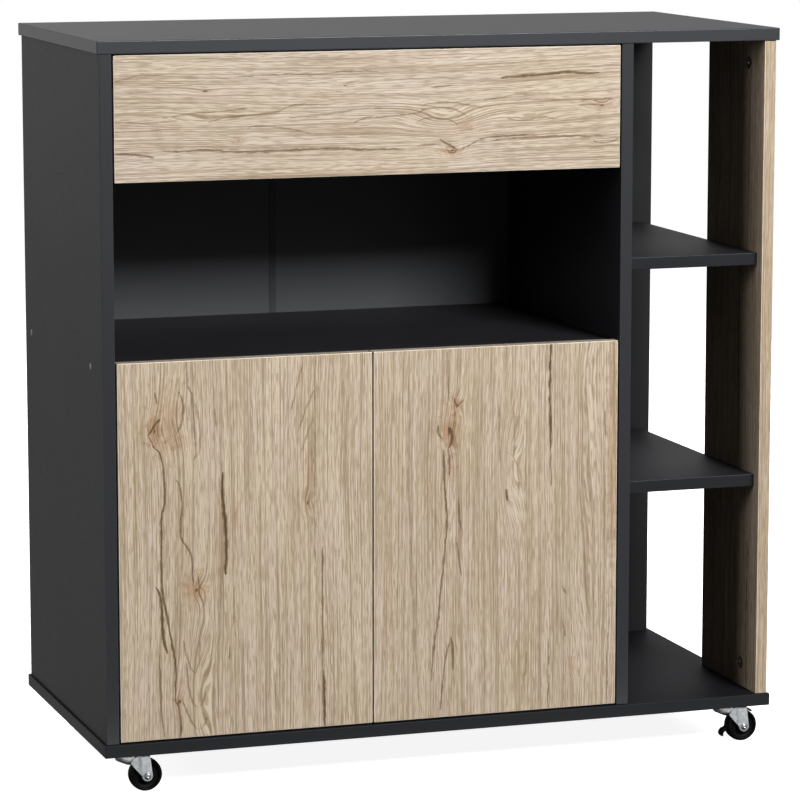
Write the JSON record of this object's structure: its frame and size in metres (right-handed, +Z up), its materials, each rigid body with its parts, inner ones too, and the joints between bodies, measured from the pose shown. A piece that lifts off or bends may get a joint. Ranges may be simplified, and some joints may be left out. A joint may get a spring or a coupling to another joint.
{
  "type": "kitchen trolley",
  "caption": "Grey and oak kitchen trolley on casters with a drawer over an open niche, a cupboard with doors below and an open shelf column at one side.",
  "frame": {"origin": "on the floor under the middle of the trolley", "axes": "+X towards the open column, -Y towards the doors, +Z up"},
  "size_m": [0.85, 0.4, 0.892],
  "materials": {
    "grey_melamine": "satin",
    "oak_melamine": "matte",
    "grey_hardboard": "satin",
    "grey_strip": "satin",
    "drawer_melamine": "satin",
    "beech": "matte",
    "black_plastic": "satin",
    "nickel_steel": "polished",
    "zinc_casting": "satin",
    "zinc_steel": "satin"
  },
  "bodies": {
    "cabinet": {"back_joining_strip": "grey_strip", "back_panel_left": "grey_hardboard", "back_panel_nails": "zinc_steel", "back_panel_right": "grey_hardboard", "bottom_board": "grey_melamine", "cam_bolts": "nickel_steel", "cam_locks": "zinc_casting", "caster_king_pins": "zinc_steel", "caster_plate_front_left": "zinc_steel", "caster_plate_front_right": "zinc_steel", "caster_plate_rear_left": "zinc_steel", "caster_plate_rear_right": "zinc_steel", "caster_screws": "zinc_steel", "column_back_board": "grey_melamine", "hardware_screws": "zinc_steel", "hinge_arms": "nickel_steel", "hinge_base_plates": "nickel_steel", "inner_shelf": "grey_melamine", "left_side_panel": "grey_melamine", "lower_column_shelf": "grey_melamine", "niche_floor": "grey_melamine", "niche_floor_screws": "nickel_steel", "oak_side_panel": "oak_melamine", "partition_panel": "grey_melamine", "runner_outer_rails": "zinc_steel", "shelf_pins": "nickel_steel", "top_board": "grey_melamine", "upper_column_shelf": "grey_melamine", "wood_dowels": "beech"},
    "drawer": {"drawer_front": "oak_melamine", "drawer_left_side": "drawer_melamine", "drawer_right_side": "drawer_melamine", "drawer_back": "drawer_melamine", "drawer_bottom": "grey_hardboard", "runner_inner_rails": "zinc_steel", "drawer_dowels": "beech", "drawer_screws": "zinc_steel"},
    "runner_cages": {"runner_ball_cages": "zinc_steel"},
    "left_door": {"left_door_panel": "oak_melamine", "left_hinge_cups": "nickel_steel", "left_hinge_pins": "nickel_steel", "left_cup_screws": "zinc_steel"},
    "right_door": {"right_door_panel": "oak_melamine", "right_hinge_cups": "nickel_steel", "right_hinge_pins": "nickel_steel", "right_cup_screws": "zinc_steel"},
    "caster_front_left": {"fork_front_left": "zinc_steel", "axle_front_left": "zinc_steel"},
    "wheel_front_left": {"wheel_front_left": "black_plastic"},
    "caster_front_right": {"fork_front_right": "zinc_steel", "axle_front_right": "zinc_steel"},
    "wheel_front_right": {"wheel_front_right": "black_plastic"},
    "brake_front_right": {"brake_front_right": "black_plastic"},
    "caster_rear_left": {"fork_rear_left": "zinc_steel", "axle_rear_left": "zinc_steel"},
    "wheel_rear_left": {"wheel_rear_left": "black_plastic"},
    "caster_rear_right": {"fork_rear_right": "zinc_steel", "axle_rear_right": "zinc_steel"},
    "wheel_rear_right": {"wheel_rear_right": "black_plastic"},
    "brake_rear_right": {"brake_rear_right": "black_plastic"}
  },
  "joints": [
    {"name": "drawer_slide", "type": "slide", "parent": "cabinet", "child": "drawer", "axis": [0, -1, 0], "range_m": [0, 0.26]},
    {"name": "runner_cage_slide", "type": "slide", "parent": "cabinet", "child": "runner_cages", "axis": [0, -1, 0], "range_m": [0, 0.13]},
    {"name": "left_door_hinge", "type": "hinge", "parent": "cabinet", "child": "left_door", "pos_m": [-0.391, -0.1905, 0.294], "axis": [0, 0, -1], "range_deg": [0, 95]},
    {"name": "right_door_hinge", "type": "hinge", "parent": "cabinet", "child": "right_door", "pos_m": [0.205, -0.1905, 0.294], "axis": [0, 0, 1], "range_deg": [0, 95]},
    {"name": "swivel_front_left", "type": "hinge", "parent": "cabinet", "child": "caster_front_left", "pos_m": [-0.385, -0.16, 0.047], "axis": [0, 0, 1], "continuous": true},
    {"name": "roll_front_left", "type": "hinge", "parent": "caster_front_left", "child": "wheel_front_left", "pos_m": [-0.367, -0.16, 0.02], "axis": [0, 1, 0], "continuous": true},
    {"name": "swivel_front_right", "type": "hinge", "parent": "cabinet", "child": "caster_front_right", "pos_m": [0.385, -0.16, 0.047], "axis": [0, 0, 1], "continuous": true},
    {"name": "roll_front_right", "type": "hinge", "parent": "caster_front_right", "child": "wheel_front_right", "pos_m": [0.403, -0.16, 0.02], "axis": [0, 1, 0], "continuous": true},
    {"name": "pedal_front_right", "type": "hinge", "parent": "caster_front_right", "child": "brake_front_right", "pos_m": [0.403, -0.16, 0.02], "axis": [0, -1, 0], "range_deg": [0, 10]},
    {"name": "swivel_rear_left", "type": "hinge", "parent": "cabinet", "child": "caster_rear_left", "pos_m": [-0.385, 0.16, 0.047], "axis": [0, 0, 1], "continuous": true},
    {"name": "roll_rear_left", "type": "hinge", "parent": "caster_rear_left", "child": "wheel_rear_left", "pos_m": [-0.367, 0.16, 0.02], "axis": [0, 1, 0], "continuous": true},
    {"name": "swivel_rear_right", "type": "hinge", "parent": "cabinet", "child": "caster_rear_right", "pos_m": [0.385, 0.16, 0.047], "axis": [0, 0, 1], "continuous": true},
    {"name": "roll_rear_right", "type": "hinge", "parent": "caster_rear_right", "child": "wheel_rear_right", "pos_m": [0.403, 0.16, 0.02], "axis": [0, 1, 0], "continuous": true},
    {"name": "pedal_rear_right", "type": "hinge", "parent": "caster_rear_right", "child": "brake_rear_right", "pos_m": [0.403, 0.16, 0.02], "axis": [0, -1, 0], "range_deg": [0, 10]}
  ],
  "couplings": [
    {"joint": "runner_cage_slide", "follows": "drawer_slide", "ratio": 0.5}
  ]
}
